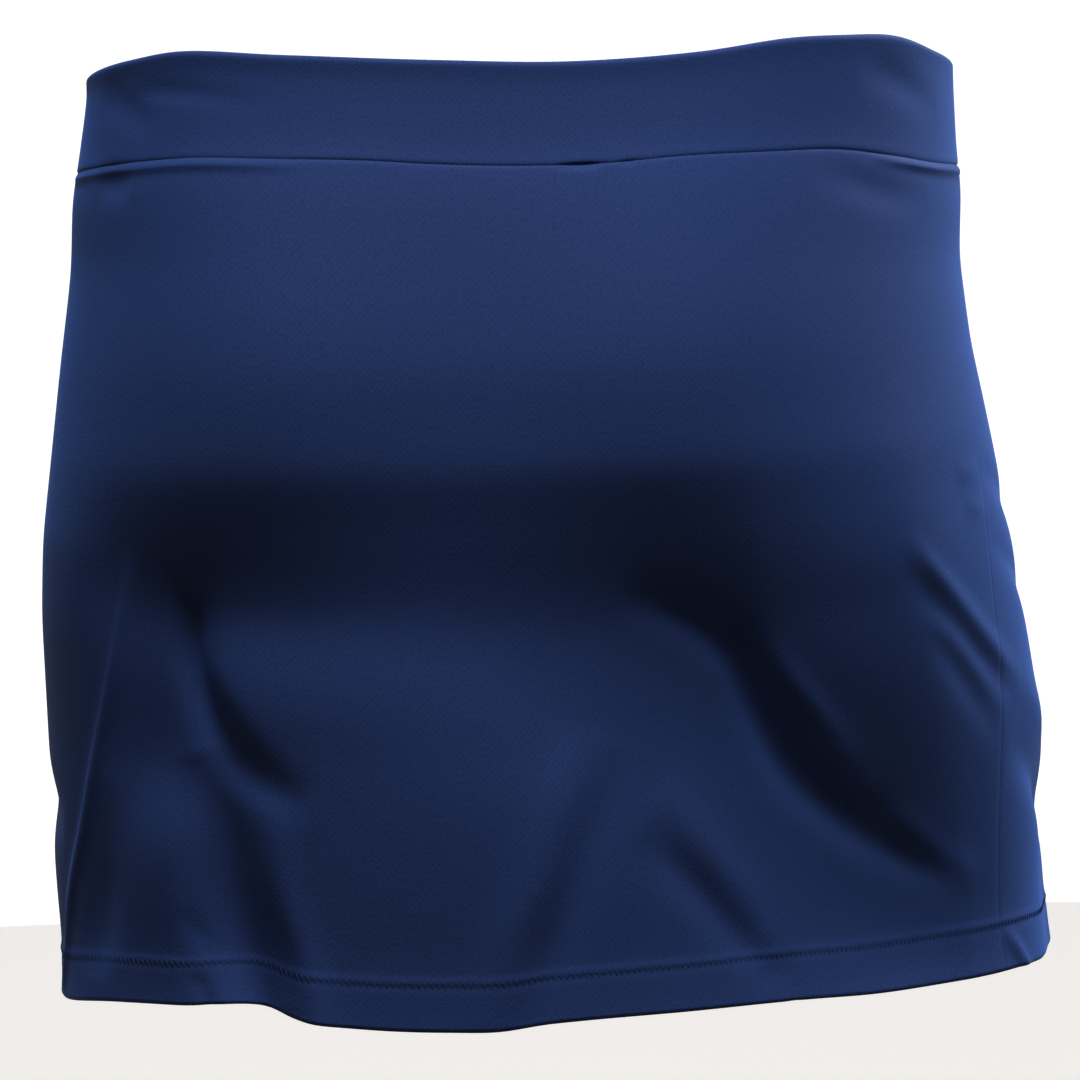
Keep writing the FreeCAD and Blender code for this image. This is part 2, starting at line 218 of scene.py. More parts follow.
# Folds: rows of (across, drop, height, width) along each fold's line. A negative height is a valley.
FOLDS = {
    "beside_left_seam": ((-187, 164, 0, 3), (-188, 180, 1.3, 2.8), (-191, 199, 1.3, 2.8), (-201, 233, 1.5, 3),
                         (-210, 259, 1.4, 3), (-228, 298, 1.3, 3), (-236, 322, 1.0, 3)),
    "left_drop": ((-163, 168, 0, 8), (-162, 184, -3.5, 7), (-160, 204, -5, 6), (-153, 222, -5, 7),
                  (-141, 240, -4, 8), (-119, 253, 0, 7)),
    "left_pleat": ((-158, 234, 0, 10), (-153, 256, -5, 12), (-150, 284, -7.4, 14), (-144, 311, -7.4, 13),
                   (-140, 327, -6.2, 10)),
    "left_pleat_edge": ((-134, 258, 0, 7), (-129, 288, 1.6, 6), (-123, 311, 2.0, 6), (-121, 327, 2.2, 6)),
    "seam_hollow": ((-196, 246, 0, 9), (-201, 272, -1.8, 10), (-204, 292, -2.8, 10), (-207, 306, -2.2, 10),
                    (-210, 320, 0, 8)),
    "left_nick": ((-166, 290, 0, 3), (-162, 300, -0.8, 3), (-157, 310, 0, 3)),
    "middle_ridge": ((-30, 226, 0, 12), (-36, 246, 1.6, 10), (-45, 273, 2.0, 9), (-58, 306, 1.8, 9),
                     (-62, 324, 1.2, 9)),
    "middle_valley": ((-18, 236, 0, 9), (-26, 258, -1.4, 8), (-34, 280, -1.6, 8), (-44, 308, -1.4, 8),
                      (-48, 324, -1, 8)),
    "low_slant": ((-10, 264, 0, 9), (4, 280, -1.8, 7), (18, 296, -1.9, 7), (36, 316, -1.2, 7)),
    "low_slant_ridge": ((-4, 248, 0, 9), (9, 266, 1.3, 8), (24, 286, 1.5, 8), (38, 310, 0.8, 7)),
    "seat_tail_ridge": ((36, 198, 0, 6), (46, 211, 1.1, 5), (62, 233, 1.3, 5), (76, 252, 0, 6)),
    "seat_fold": ((-12, 182, 0, 8), (3, 186, -2, 8), (20, 194, -3.5, 8), (32, 206, -4.4, 8),
                  (39, 226, -4.8, 8), (51, 247, -4.8, 8), (67, 261, -4.8, 8), (85, 273, -3.8, 8),
                  (107, 284, -2.4, 7), (128, 294, 0, 6)),
    "low_right_ridge": ((88, 266, 0, 5), (97, 271, 0.9, 5), (121, 286, 1.1, 5), (140, 295, 0, 6)),
    "side_ridge": ((98, 168, 0, 5), (106, 177, 0.8, 5), (127, 196, 1.2, 5), (153, 217, 1.0, 5),
                   (170, 228, 0, 5)),
    "side_valley": ((96, 178, 0, 6), (104, 187, -0.6, 6), (124, 206, -0.6, 6), (148, 227, -0.5, 6),
                    (162, 239, 0, 6)),
    "side_ridge_low": ((104, 195, 0, 5), (114, 203, 0.5, 5), (140, 225, 0.6, 5), (158, 239, 0, 5)),
    "side_valley_low": ((104, 204, 0, 6), (116, 214, -0.5, 6), (136, 234, -0.5, 6), (152, 248, 0, 6)),
    "left_notch": ((-276, 256, 0, 8), (-252, 259, -2.8, 10), (-228, 264, 0, 8)),
    "right_drag_high": ((158, 150, 0, 6), (196, 165, -1.4, 7), (236, 186, -0.8, 9), (270, 206, 0, 9)),
    "right_drag": ((156, 176, 0, 6), (196, 195, -1.4, 7), (232, 220, -0.8, 9), (264, 244, 0, 9)),
    "right_drag_ridge": ((162, 226, 0, 8), (197, 245, 1.8, 9), (232, 268, 0.9, 11), (264, 288, 0, 11)),
    "right_drag_low": ((156, 250, 0, 8), (197, 270, -2.6, 9), (236, 292, -1.3, 11), (270, 312, 0, 11)),
    "seam_pucker": ((138, 150, 0, 4), (148, 150, 0.6, 3.5), (158, 147, 0, 4)),
    "seam_pucker_low": ((140, 162, 0, 4), (150, 163, 0.5, 3.5), (160, 161, 0, 4)),
    "waist_hollow_left": ((-216, 43, 0, 6), (-206, 44, -1.3, 6), (-192, 46, 0, 6)),
    "waist_hollow_right": ((74, 47, 0, 6), (95, 49, -0.8, 6), (125, 52, -0.7, 6), (145, 50, 0, 6)),
    "band_dent_left": ((-222, 9, 0, 6), (-210, 14, -0.8, 6), (-194, 22, -0.8, 6), (-182, 27, 0, 6)),
    "band_crease": ((-200, 12, 0, 3.5), (-185, 13.5, -0.6, 3.5), (-162, 16, -0.5, 3.5), (-134, 19, 0, 4)),
    "band_dent_right": ((104, 12, 0, 6), (118, 13, -0.7, 6), (144, 17, -0.6, 6), (160, 19, 0, 6)),
    "seam_gape": ((-30, 38.5, 0, 1.2), (-25, 38.5, -0.7, 1.2), (-16, 38.5, -0.7, 1.2), (-12, 38.5, 0, 1.2)),
    "seam_gape_small": ((-7, 38.4, 0, 1), (-3, 38.4, -0.5, 1.1), (1, 38.4, 0, 1)),
    "panel_lip_left": ((-245, 40.2, 0.6, 1.8), (-189, 40.2, 0.8, 1.8), (-140, 40.2, 0.7, 1.8),
                       (-118, 40.2, 0, 1.8)),
    "panel_lip_right": ((108, 40.2, 0, 1.8), (125, 40.2, 0.7, 1.8), (190, 40.2, 0.7, 1.8)),
    "hem_nick_left": ((-163, 314, 0, 2.6), (-161, 320, -1.0, 2.6), (-158, 328, -1.0, 2.6)),
    "hem_nick_right": ((46, 308, 0, 2.6), (46, 316, -0.8, 2.6), (46, 328, -0.8, 2.6)),
    "hem_turn_right": ((152, 314, 0, 3), (158, 320, 1.0, 3), (166, 329, 1.0, 3)),
    "front_drape_right": ((232, 150, 0, 16), (228, 220, 2.5, 14), (224, 290, 4, 13), (222, 328, 4.5, 13)),
    "front_drape_middle": ((410, 160, 0, 18), (402, 230, 2.5, 16), (398, 290, 4, 15), (396, 328, 4.5, 15)),
    "front_drape_left": ((-352, 150, 0, 18), (-346, 225, 2.5, 16), (-340, 290, 4, 14), (-338, 328, 4.5, 14)),
    "front_hollow_right": ((318, 190, 0, 22), (314, 250, -2, 20), (312, 328, -3, 18)),
    "front_hollow_left": ((-424, 190, 0, 22), (-420, 250, -2, 20), (-416, 328, -3, 18)),
}


def seam_across(points, drop):
    """The distance round the body of a side seam, at each drop."""
    return through(points, np.asarray(drop, float))


def lift(across, drop):
    """How far the cloth is lifted: as the band is near the top, and as the hem is near the bottom."""
    fades_over, hem_starts = 90, 200
    degrees = np.degrees(turn_at(across))
    top, seam, hem = (through(points, degrees, 360) for points in (TOP_LIFT, SEAM_LIFT, HEM_LIFT))
    in_band = np.clip(drop / SEAM_DROP, 0, 1)
    below = np.clip((drop - SEAM_DROP) / fades_over, 0, 1)
    to_hem = np.clip((drop - hem_starts) / (HEM_DROP - hem_starts), 0, 1)
    return (top * (1 - in_band) + seam * in_band) * (1 - below) ** 2 * (1 + 2 * below) + hem * to_hem ** 2


def fold_line(points, count=40):
    """Points along a fold, each with its height and width, from a smooth curve through its own points."""
    points = np.array(points, float)
    lengths = np.concatenate([[0], np.cumsum(np.hypot(*np.diff(points[:, :2], axis=0).T))])
    along = np.linspace(0, lengths[-1], count)
    return np.stack([through(list(zip(lengths, column)), along) for column in points.T], axis=1)


FOLD_LINES = [fold_line(points) for points in FOLDS.values()]


def fold_relief(line, across, drop):
    """The height that one fold adds at places near it, from the nearest point of its line."""
    nearest = np.full(across.shape, 1e9)
    strength = np.zeros(across.shape)
    width = np.ones(across.shape)
    for (x, y, high, wide), (next_x, next_y, next_high, next_wide) in zip(line, line[1:]):
        run, fall = next_x - x, next_y - y
        share = np.clip(((across - x) * run + (drop - y) * fall) / (run ** 2 + fall ** 2), 0, 1)
        distance = np.hypot(across - x - share * run, drop - y - share * fall)
        closer = distance < nearest
        nearest = np.where(closer, distance, nearest)
        strength = np.where(closer, high + share * (next_high - high), strength)
        width = np.where(closer, wide + share * (next_wide - wide), width)
    return strength * bell(nearest, 0, width)


def seam_relief(across, drop):
    """The shallow ditch along each side seam, which shows below the hips and down to the hem."""
    starts, fades_over, depth, width = 130, 40, 0.08, 0.9
    below = np.clip((drop - starts) / fades_over, 0, 1)
    height = np.zeros(across.shape)
    for seam in (LEFT_SEAM, RIGHT_SEAM):
        away = np.abs(wrapped(across - seam_across(seam, drop)))
        height += below * -depth * bell(away, 0, width)
    return height


def hollow_relief(across, drop):
    """The hollow under the seat. Its sides may reach differently far up and down."""
    middle, height, above, below = (
        through([(row[0], row[column]) for row in HOLLOW], across) for column in range(1, 5))
    return height * bell(drop, middle, np.where(drop < middle, above, below))


def relief(across, drop):
    """How far the cloth stands out of the body form."""
    across, drop = np.broadcast_arrays(wrapped(across), drop)
    height = seam_relief(across, drop) + hollow_relief(across, drop)
    height += FLARE * np.clip(1 - (HEM_DROP - drop) / FLARE_REACH, 0, 1) ** 2
    for middle, low, high, wide, above, below in BULGES:
        tall = np.where(drop < low, above, below)
        height += high * bell(wrapped(across - middle), 0, wide) * bell(drop, low, tall)
    for line in FOLD_LINES:
        reach = FOLD_REACH * line[:, 3].max()
        middle = line[:, 0].mean()
        beside = wrapped(across - middle) + middle
        near = (beside > line[:, 0].min() - reach) & (beside < line[:, 0].max() + reach)
        near &= (drop > line[:, 1].min() - reach) & (drop < line[:, 1].max() + reach)
        height[near] += fold_relief(line, beside[near], drop[near])
    return height


def outward(across, drop):
    """The foot of each place on the body form, and the level direction out of the body there."""
    turn = turn_at(across)
    half_width, half_depth, back, aside = (np.interp(drop, FORM_DROPS, column) for column in FORM.T)
    foot = np.stack([half_width * np.sin(turn) + aside, -half_depth * np.cos(turn) - back], axis=-1)
    out = np.stack([np.sin(turn) / half_width, -np.cos(turn) / half_depth], axis=-1)
    return foot, out / np.linalg.norm(out, axis=-1, keepdims=True)


def place(across, drop, inset):
    """Points of the cloth, in millimetres, from garment coordinates."""
    foot, out = outward(across, drop)
    stand = relief(across, drop) - inset
    level = foot + out * stand[..., None]
    return np.concatenate([level, (lift(across, drop) - drop)[..., None]], axis=-1)


# ---------------------------------------------------------------- meshes
# A mesh here is its points in millimetres, its faces and the cloth's own coordinates at each point.
def grid_quads(rows, columns, first):
    """The quads of a grid of points, numbered row by row from first."""
    corner = first + np.arange(rows - 1)[:, None] * columns + np.arange(columns - 1)
    return np.stack([corner, corner + 1, corner + columns + 1, corner + columns], axis=-1).reshape(-1, 4)


def shell(outer, inner, cloth):
    """A closed sheet between two grids of points, outer and inner, joined all round their edges."""
    rows, columns = outer.shape[:2]
    count = rows * columns
    faces = [grid_quads(rows, columns, 0)[:, ::-1], grid_quads(rows, columns, count)]
    index = np.arange(count).reshape(rows, columns)
    for edge in (index[0], index[:, -1], index[-1, ::-1], index[::-1, 0]):
        faces.append(np.stack([edge[:-1], edge[1:], edge[1:] + count, edge[:-1] + count], axis=-1))
    points = np.concatenate([outer.reshape(-1, 3), inner.reshape(-1, 3)])
    return points, np.concatenate(faces).tolist(), np.concatenate([cloth.reshape(-1, 3)] * 2)


def sheet(across, path_drop, path_inset, thickness):
    """A closed sheet whose outer face follows one path of (drop, inset), swept round the body.

    across has a row for each point of the path. The inner face lies inside by the thickness, square
    to the path.
    """
    step_down, step_in = np.gradient(path_drop), np.gradient(path_inset)
    length = np.hypot(step_down, step_in)
    inner_inset = path_inset + thickness * step_down / length
    inner_drop = path_drop - thickness * step_in / length
    columns = np.ones(across.shape[1])
    outer = place(across, path_drop[:, None] * columns, path_inset[:, None] * columns)
    inner = place(across, inner_drop[:, None] * columns, inner_inset[:, None] * columns)
    run = np.cumsum(length)[:, None] * columns
    return shell(outer, inner, np.stack([across, run, np.zeros_like(run)], axis=-1))


def threads(paths, radius, sides=6, tip=0.35):
    """Round threads along many paths of points, closed and narrowed at their ends.

    radius is the thread's own, and tip is the share of it that is left at an end.
    """
    paths = np.asarray(paths, float)
    count, length = paths.shape[:2]
    along = np.gradient(paths, axis=1)
    along /= np.linalg.norm(along, axis=-1, keepdims=True)
    side = np.cross(along, paths - (0, 0, paths[..., 2].mean()))
    side /= np.linalg.norm(side, axis=-1, keepdims=True)
    up = np.cross(side, along)
    turns = np.arange(sides) * 2 * math.pi / sides
    ring = np.cos(turns)[:, None] * side[..., None, :] + np.sin(turns)[:, None] * up[..., None, :]
    narrow = np.ones(length)
    narrow[[0, -1]] = tip
    points = paths[..., None, :] + ring * radius * narrow[None, :, None, None]
    first = (np.arange(count)[:, None, None] * length + np.arange(length - 1)[None, :, None]) * sides
    corner, after = first + np.arange(sides), first + (np.arange(sides) + 1) % sides
    faces = np.stack([corner, corner + sides, after + sides, after], axis=-1).reshape(-1, 4).tolist()
    starts = np.arange(count)[:, None] * length * sides + np.arange(sides)
    faces += starts.tolist() + (starts + (length - 1) * sides)[:, ::-1].tolist()
    points = points.reshape(-1, 3)
    return points, faces, np.zeros_like(points)


def half_columns(half, drops, spacing=FINE, edge=4.0, edge_spacing=0.6):
    """The columns of a panel between the side seams, closer together beside the seams."""
    left, right = seam_across(LEFT_SEAM, drops), seam_across(RIGHT_SEAM, drops)
    start, end = (left, right) if half == "back" else (right, left + GIRTH)
    width = float(np.mean(end - start))
    steps = spaced((0, edge_spacing), (edge, spacing), (width - edge, edge_spacing), (width, 1))
    return start[:, None] + (end - start)[:, None] * steps / width


def loop_columns(drops, spacing=3.0):
    """The columns of a layer that goes once round the body, from the centre back."""
    return np.repeat(spaced((0, spacing), (GIRTH, 1))[None], len(drops), axis=0)


# ---------------------------------------------------------------- materials
# Textures are laid out in the cloth's own coordinates, which are in millimetres.
DULLNESS = 0.03                 # specular level: cloth has almost no shine
WAVE_LENGTH = 0.314             # of a wave texture, at a scale of 1
RIB_SCALE = 0.30                # of the knit's slanting ribs,
SPECKLE_SCALE = 0.8             # and of its speckle
RIB_SHARE = 0.2                 # how far the ribs show against the speckle
KNIT_DEPTH = 0.0002             # of the knit's grain, in metres
DARKEST, PALEST = 0.82, 1.18    # the speckle's range about the knit's own colour
NAVY = (0.0098, 0.0210, 0.0745)
DEEP_NAVY = (0.0090, 0.0200, 0.0700)
# The threads' colour: their own navy, made paler than the cloth's to paint in a sheen that their plain
# material lacks.
THREAD_NAVY_AND_SHEEN = (0.0150, 0.0320, 0.1100)
SHEEN_BLUE = (0.05, 0.22, 0.90)


def new_material(name, color, roughness):
    """A material of one colour. Returns it with its nodes, its links and its shader."""
    material = bpy.data.materials.new(name)
    material.use_nodes = True
    nodes, links = material.node_tree.nodes, material.node_tree.links
    shader = nodes["Principled BSDF"]
    shader.inputs["Base Color"].default_value = (*color, 1)
    shader.inputs["Roughness"].default_value = roughness
    shader.inputs["Specular IOR Level"].default_value = DULLNESS
    return material, nodes, links, shader


def knit_material(name, color, grain, sheen):
    """A knit with a fine speckle and faint slanting ribs, in the cloth's own coordinates."""
    material, nodes, links, shader = new_material(name, color, 0.75)
    shader.inputs["Sheen Weight"].default_value = sheen
    shader.inputs["Sheen Roughness"].default_value = 0.45
    shader.inputs["Sheen Tint"].default_value = (*SHEEN_BLUE, 1)
    cloth = nodes.new("ShaderNodeAttribute")
    cloth.attribute_name = "cloth"
    ribs = nodes.new("ShaderNodeTexWave")
    ribs.bands_direction = "DIAGONAL"
    ribs.inputs["Scale"].default_value = RIB_SCALE
    ribs.inputs["Distortion"].default_value = 1.5
    ribs.inputs["Detail"].default_value = 1.0
    links.new(cloth.outputs["Vector"], ribs.inputs["Vector"])
    speckle = nodes.new("ShaderNodeTexNoise")
    speckle.inputs["Scale"].default_value = SPECKLE_SCALE
    speckle.inputs["Detail"].default_value = 3.0
    links.new(cloth.outputs["Vector"], speckle.inputs["Vector"])
    mixed = nodes.new("ShaderNodeMath")
    mixed.operation = "MULTIPLY_ADD"
    mixed.inputs[1].default_value = RIB_SHARE
    links.new(ribs.outputs["Fac"], mixed.inputs[0])
    links.new(speckle.outputs["Fac"], mixed.inputs[2])
    bump = nodes.new("ShaderNodeBump")
    bump.inputs["Strength"].default_value = grain
    bump.inputs["Distance"].default_value = KNIT_DEPTH
    links.new(mixed.outputs[0], bump.inputs["Height"])
    links.new(bump.outputs["Normal"], shader.inputs["Normal"])
    shade = nodes.new("ShaderNodeMapRange")
    shade.inputs["From Min"].default_value = 0.3
    shade.inputs["From Max"].default_value = 0.9
    shade.inputs["To Min"].default_value = DARKEST
    shade.inputs["To Max"].default_value = PALEST
    links.new(mixed.outputs[0], shade.inputs["Value"])
    tint = nodes.new("ShaderNodeVectorMath")
    tint.operation = "SCALE"
    tint.inputs[0].default_value = color
    links.new(shade.outputs["Result"], tint.inputs["Scale"])
    links.new(tint.outputs["Vector"], shader.inputs["Base Color"])
    return material


def woven_material(name, color, pitch, depth):
    """White tape or elastic with fine ribs: their pitch is in millimetres, and their depth in metres."""
    material, nodes, links, shader = new_material(name, color, 0.55)
    cloth = nodes.new("ShaderNodeAttribute")
    cloth.attribute_name = "cloth"
    ribs = nodes.new("ShaderNodeTexWave")
    ribs.bands_direction = "Y"
    ribs.inputs["Scale"].default_value = WAVE_LENGTH / pitch
    links.new(cloth.outputs["Vector"], ribs.inputs["Vector"])
    bump = nodes.new("ShaderNodeBump")
    bump.inputs["Strength"].default_value = 0.6
    bump.inputs["Distance"].default_value = depth
    links.new(ribs.outputs["Fac"], bump.inputs["Height"])
    links.new(bump.outputs["Normal"], shader.inputs["Normal"])
    return material


SKIRT_KNIT = knit_material("skirt_knit", NAVY, grain=0.35, sheen=0.18)
FACING_KNIT = knit_material("facing_knit", DEEP_NAVY, grain=0.8, sheen=0.06)
# The threads have no sheen of their own; their paler navy paints one in.
THREAD = new_material("navy_thread_and_sheen", THREAD_NAVY_AND_SHEEN, roughness=0.6)[0]
ELASTIC = woven_material("white_elastic", (0.72, 0.72, 0.70), pitch=1.6, depth=0.0003)
JOIN_THREAD = new_material("white_thread", (0.70, 0.70, 0.68), roughness=0.5)[0]
LABEL_TAPE = woven_material("white_satin", (0.74, 0.74, 0.72), pitch=0.8, depth=0.00005)


# ---------------------------------------------------------------- pieces of the visual model
SHARP_ANGLE = 70        # in degrees: edges sharper than this stay crisp


def new_piece(name, node, slot, *parts):
    """An object on the root body that stands for one CAD node. Each part is (mesh, material)."""
    points, faces, cloth, surface = [], [], [], []
    for index, ((part_points, part_faces, part_cloth), _) in enumerate(parts):
        first = sum(len(some) for some in points)
        points.append(np.asarray(part_points) * MM)
        cloth.append(part_cloth)
        faces += [[first + corner for corner in face] for face in part_faces]
        surface += [index] * len(part_faces)
    mesh = bpy.data.meshes.new(name)
    mesh.from_pydata(np.concatenate(points).tolist(), [], faces)
    mesh.polygons.foreach_set("use_smooth", [True] * len(faces))
    mesh.set_sharp_from_angle(angle=math.radians(SHARP_ANGLE))
    for _, material in parts:
        mesh.materials.append(material)
    mesh.polygons.foreach_set("material_index", surface)
    layer = mesh.attributes.new("cloth", "FLOAT_VECTOR", "POINT")
    layer.data.foreach_set("vector", np.concatenate(cloth).astype(np.float32).ravel())
    piece = bpy.data.objects.new(name, mesh)
    bpy.context.scene.collection.objects.link(piece)
    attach(piece, "root")
    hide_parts(node)
    return piece


def tucked(away):
    """How deep the cloth turns in towards the waist seam, from the distance to the seam."""
    depth, reach = 0.6, 0.6
    return depth * np.exp(-np.clip(away, -0.5, None) / reach)


def make_panel(half):
    """One panel of the skirt: one ply of knit, and two from the hem line down.

    The stitching raises a lip just above the hem line, the turned-up hem stands out a little, and the
    fold at its foot is rolled.
    """
    drops = spaced((SEAM_DROP - 0.5, 0.3), (SEAM_DROP + 3, 1.0), (SEAM_DROP + 12, FINE), (HEM_LINE - 9, 1.0),
                   (HEM_LINE - 4, 0.4), (HEM_LINE + 2, 1.0), (HEM_DROP - 3, 0.4), (HEM_DROP, 1))
    lip_height, lip_above, lip_width = 0.33, 1.4, 1.6
    hem_stand, hem_fades_over = 0.3, 2.5
    roll_depth, roll_height = 0.9, 1.6
    up = HEM_DROP - drops
    lip = lip_height * bell(up, HEM_DEPTH + lip_above, lip_width)
    hem_band = hem_stand * np.clip((HEM_DEPTH - up) / hem_fades_over, 0, 1)
    rolled = roll_depth * np.clip(1 - up / roll_height, 0, 1) ** 2
    insets = tucked(drops - SEAM_DROP) - lip - hem_band + rolled
    plies = 1 + np.clip((HEM_DEPTH - up) / 0.5, 0, 1)
    rounded = 0.45 + 0.55 * np.clip(up / 1.2, 0, 1)
    cloth = sheet(half_columns(half, drops), drops, insets, CLOTH * plies * rounded)
    panel = new_piece(f"{half}_panel_cloth", f"skirt_{half}_panel", "skirt_knit", (cloth, SKIRT_KNIT))


# ---------------------------------------------------------------- the waistband
def band_columns(half, drops):
    """The columns of half of the band, whose side seams are upright."""
    return half_columns(half, np.full(len(drops), SEAM_DROP), spacing=2.5)


def make_band_outer(half):
    """The band's outer cloth. It comes over the elastic from inside and runs down to the waist seam."""
    roll, raw_edge = 1.9, 2.6
    turns = np.radians(np.linspace(0, 180, 13))
    down = spaced((roll, 1.0), (6, FINE), (SEAM_DROP - 5, 0.5), (SEAM_DROP - 0.1, 1))[1:]
    drops = np.concatenate([[raw_edge], roll * (1 - np.sin(turns)), down])
    insets = np.concatenate([[2 * roll], roll * (1 + np.cos(turns)), tucked(SEAM_DROP - down)])
    cloth = sheet(band_columns(half, drops), drops, insets, CLOTH)
    band = new_piece(f"{half}_band_cloth", f"waistband_outer_{half}", "band_knit", (cloth, SKIRT_KNIT))


def make_band_facing(half):
    """The band's inner cloth, from under the top fold to the waist seam."""
    drops = spaced((1.9, 1.0), (5, FINE), (SEAM_DROP - 4, 0.8), (SEAM_DROP, 1))
    insets = FACING_INSET - 0.5 * np.clip((drops - SEAM_DROP + 3) / 3, 0, 1) ** 2
    cloth = sheet(band_columns(half, drops), drops, insets, CLOTH)
    facing = new_piece(f"{half}_facing_cloth", f"waistband_facing_{half}", "facing_knit",
                       (cloth, FACING_KNIT))


def make_elastic():
    """The loop of flat elastic inside the band, its ends meeting at the centre back."""
    drops = spaced((2.2, 1.5), (SEAM_DROP - 1.4, 1))
    tape = sheet(loop_columns(drops), drops, np.full(len(drops), ELASTIC_INSET), ELASTIC_THICK)
    elastic = new_piece("elastic_loop", "waist_elastic", "elastic", (tape, ELASTIC))


def make_elastic_join():
    """Two upright rows of stitches across the elastic's overlapped ends."""
    pitch, half_length, beside = 2.6, 1.1, 6.0
    along = np.linspace(-1, 1, 5)
    inset = ELASTIC_INSET + ELASTIC_THICK + 0.2 - 0.15 * along ** 2
    starts = np.arange(3.5, SEAM_DROP - 5, pitch)
    paths = [place(np.full(5, across), start + half_length * (1 + along), inset)
             for across in (-beside, beside) for start in starts]
    new_piece("elastic_join_threads", "elastic_join_stitching", "join_thread",
              (threads(paths, radius=0.18), JOIN_THREAD))


def make_band_seam(side, seam):
    """The band's side seam: both allowances pressed open between the outer cloth and the elastic."""
    pressed = 0.5
    drops = spaced((2.8, FINE), (SEAM_DROP - 1.6, 1))
    across = seam[0][1] + np.repeat(np.linspace(-ALLOWANCE, ALLOWANCE, 13)[None], len(drops), axis=0)
    strip = sheet(across, drops, np.full(len(drops), CLOTH + 0.03), pressed)
    new_piece(f"{side}_band_seam_cloth", f"waistband_side_seam_{side}", "facing_knit", (strip, FACING_KNIT))


# ---------------------------------------------------------------- overlocked allowances
OVERLOCK_RADIUS = 0.16      # of the overlock's threads


def overlock_loops(across, drop, reach_across, reach_down, face):
    """Slanting loops of thread over an allowance, round its cut edge and a little way back beneath.

    face gives the inset of the allowance's inner face at each drop. Along one loop, share is the part
    of the reach covered, above the height over that face, and slant the shift along the seam.
    """
    share = np.array([0.0, 0.25, 0.5, 0.75, 0.96, 1.03, 0.96, 0.7])
    above = np.array([0.0, 0.1, 0.15, 0.15, 0.1, -0.35, -0.7, -0.72])
    slant = np.array([0.0, 0.15, 0.3, 0.5, 0.7, 0.8, 0.9, 1.0]) * 0.8 * STITCH_PITCH
    across = across[:, None] + reach_across * share + (slant if reach_down else 0)
    drop = drop[:, None] + reach_down * share + (slant if reach_across else 0)
    return place(across, drop, face(drop) + above)


def make_waist_overlock():
    """The allowance of the waist seam, pressed down inside, with its overlock threads."""
    def face(drop):
        return CLOTH + 0.1 + STRIP + tucked(drop - SEAM_DROP)
    drops = spaced((SEAM_DROP + 0.3, 0.6), (SEAM_DROP + ALLOWANCE + 0.3, 1))
    strip = sheet(loop_columns(drops), drops, face(drops) - STRIP, STRIP)
    starts = np.arange(0, GIRTH - STITCH_PITCH, STITCH_PITCH)
    loops = overlock_loops(starts, np.full(len(starts), SEAM_DROP + 1.6), 0, ALLOWANCE - 1.4, face)
    new_piece("waist_overlock_threads", "waist_seam_overlock", "overlock_thread",
              (strip, FACING_KNIT), (threads(loops, OVERLOCK_RADIUS), THREAD))


def make_side_overlock(side, seam):
    """The allowance inside a side seam, with its overlock threads, down to the hem's turn-up."""
    def face(drop):
        return np.full(np.shape(drop), CLOTH + 0.05 + STRIP)
    half = ALLOWANCE / 2
    drops = spaced((SEAM_DROP + 2 * ALLOWANCE + 1, FINE), (HEM_LINE - 0.5, 1))
    across = seam_across(seam, drops)[:, None] + np.linspace(-half, half, 11)
    strip = sheet(across, drops, face(drops) - STRIP, STRIP)
    starts = np.arange(drops[0] + 0.5, drops[-1] - STITCH_PITCH, STITCH_PITCH)
    loops = overlock_loops(seam_across(seam, starts) - half + 0.8, starts, ALLOWANCE - 0.8, 0, face)
    new_piece(f"{side}_side_overlock_threads", f"side_seam_overlock_{side}", "overlock_thread",
              (strip, FACING_KNIT), (threads(loops, OVERLOCK_RADIUS), THREAD))


# ---------------------------------------------------------------- the hem's coverstitch
def hem_stitches(run, fall, inset):
    """One path for each stitch round the hem, whose points are given from the stitch's own start."""
    starts = np.arange(0, GIRTH - STITCH_PITCH, STITCH_PITCH)[:, None]
    drop = HEM_LINE + np.asarray(fall, float) + 0 * starts
    return place(starts + np.asarray(run, float), drop, np.asarray(inset, float) + 0 * starts)


def make_hem_stitches():
    """Small slanting stitches over the hem line, a flat row below it, and the looper thread inside."""
    upper = hem_stitches(run=(0, 0.15, 0.3, 0.45, 0.6), fall=(-1.7, -1.0, -0.2, 0.5, 1.0),
                         inset=(-0.2, -0.42, -0.26, -0.14, 0.1))
    new_piece("hem_upper_threads", "hem_needle_thread_upper", "stitch_thread",
              (threads(upper, radius=0.16), THREAD))
    below = NEEDLE_GAP + 0.4
    lower = hem_stitches(run=(0, 0.4, 0.85, 1.3, 1.7), fall=[below] * 5,
                         inset=(-0.05, -0.2, -0.24, -0.2, -0.05))
    new_piece("hem_lower_threads", "hem_needle_thread_lower", "stitch_thread",
              (threads(lower, radius=0.13), THREAD))
    across = np.linspace(0, 2, 9) * STITCH_PITCH
    middle, swing, near, deep = 3.2, 2.6, 1.35, 1.5
    fall = middle + swing * np.cos(np.linspace(0, 2 * math.pi, 9))
    looper = hem_stitches(run=across * 0.9, fall=fall,
                          inset=(near, deep, deep, deep, near, deep, deep, deep, near))
    new_piece("hem_looper_threads", "hem_looper_thread", "stitch_thread",
              (threads(looper, radius=0.14), THREAD))


